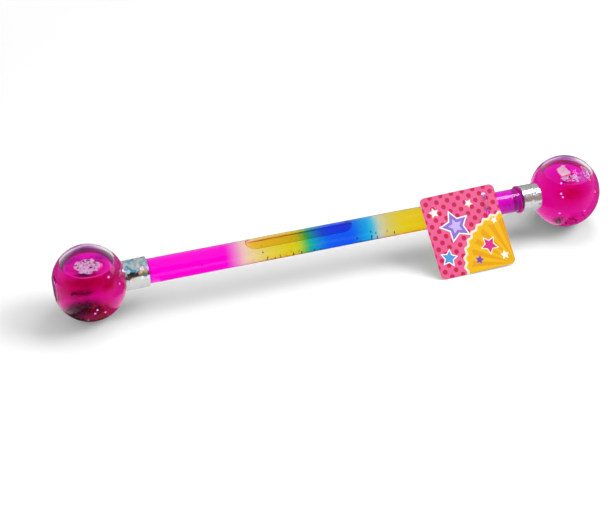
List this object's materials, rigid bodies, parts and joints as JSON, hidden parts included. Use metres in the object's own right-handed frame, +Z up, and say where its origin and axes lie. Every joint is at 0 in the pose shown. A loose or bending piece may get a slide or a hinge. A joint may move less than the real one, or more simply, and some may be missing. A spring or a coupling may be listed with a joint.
{
  "type": "twirling baton",
  "caption": "Toy twirling baton: a clear rainbow-tinted tube of liquid between clear balls of magenta liquid and glitter, with foil bands on the necks and a card tag on a ring round the tube.",
  "frame": {"origin": "middle of the tube on its axis, where the baton balances in the hand", "axes": "+X along the tube towards the end where the tag hangs, +Z up as the baton lies on a table, the tag leans out towards -Y"},
  "size_m": [0.367, 0.0623, 0.048],
  "materials": {
    "tinted_tube": "clear plastic tinted in soft bands of magenta, yellow and blue",
    "clear_liquid": "clear liquid",
    "dark_glitter": "dark red metallic flakes",
    "plug_plastic": "translucent moulded plastic",
    "clear_shell": "clear glossy plastic",
    "holographic_foil": "silver holographic foil with fine coloured sparkle",
    "magenta_liquid": "clear magenta liquid, redder where it is deep",
    "pale_glitter": "pale pink holographic flakes",
    "printed_card": "coated card printed in pink and yellow",
    "clear_strand": "clear plastic strand"
  },
  "bodies": {
    "baton": {"grip_tube": "tinted_tube", "tube_liquid": "clear_liquid", "tube_glitter": "dark_glitter", "left_tube_plug": "plug_plastic", "right_tube_plug": "plug_plastic", "left_ball": "clear_shell", "right_ball": "clear_shell", "left_end_plug": "plug_plastic", "right_end_plug": "plug_plastic", "left_foil_band": "holographic_foil", "right_foil_band": "holographic_foil", "left_ball_liquid": "magenta_liquid", "right_ball_liquid": "magenta_liquid", "left_floating_glitter": "pale_glitter", "right_floating_glitter": "pale_glitter", "left_settled_glitter": "dark_glitter", "right_settled_glitter": "dark_glitter"},
    "ring": {"tag_loop": "clear_strand"},
    "tag": {"hang_tag": "printed_card"}
  },
  "joints": [
    {"name": "tag_slide", "type": "slide", "parent": "baton", "child": "ring", "axis": [1, 0, 0], "range_m": [-0.181, 0.015]},
    {"name": "tag_swing", "type": "hinge", "parent": "ring", "child": "tag", "pos_m": [0.1005, 0, 0], "axis": [-1, 0, 0], "range_deg": [0, 243]}
  ]
}
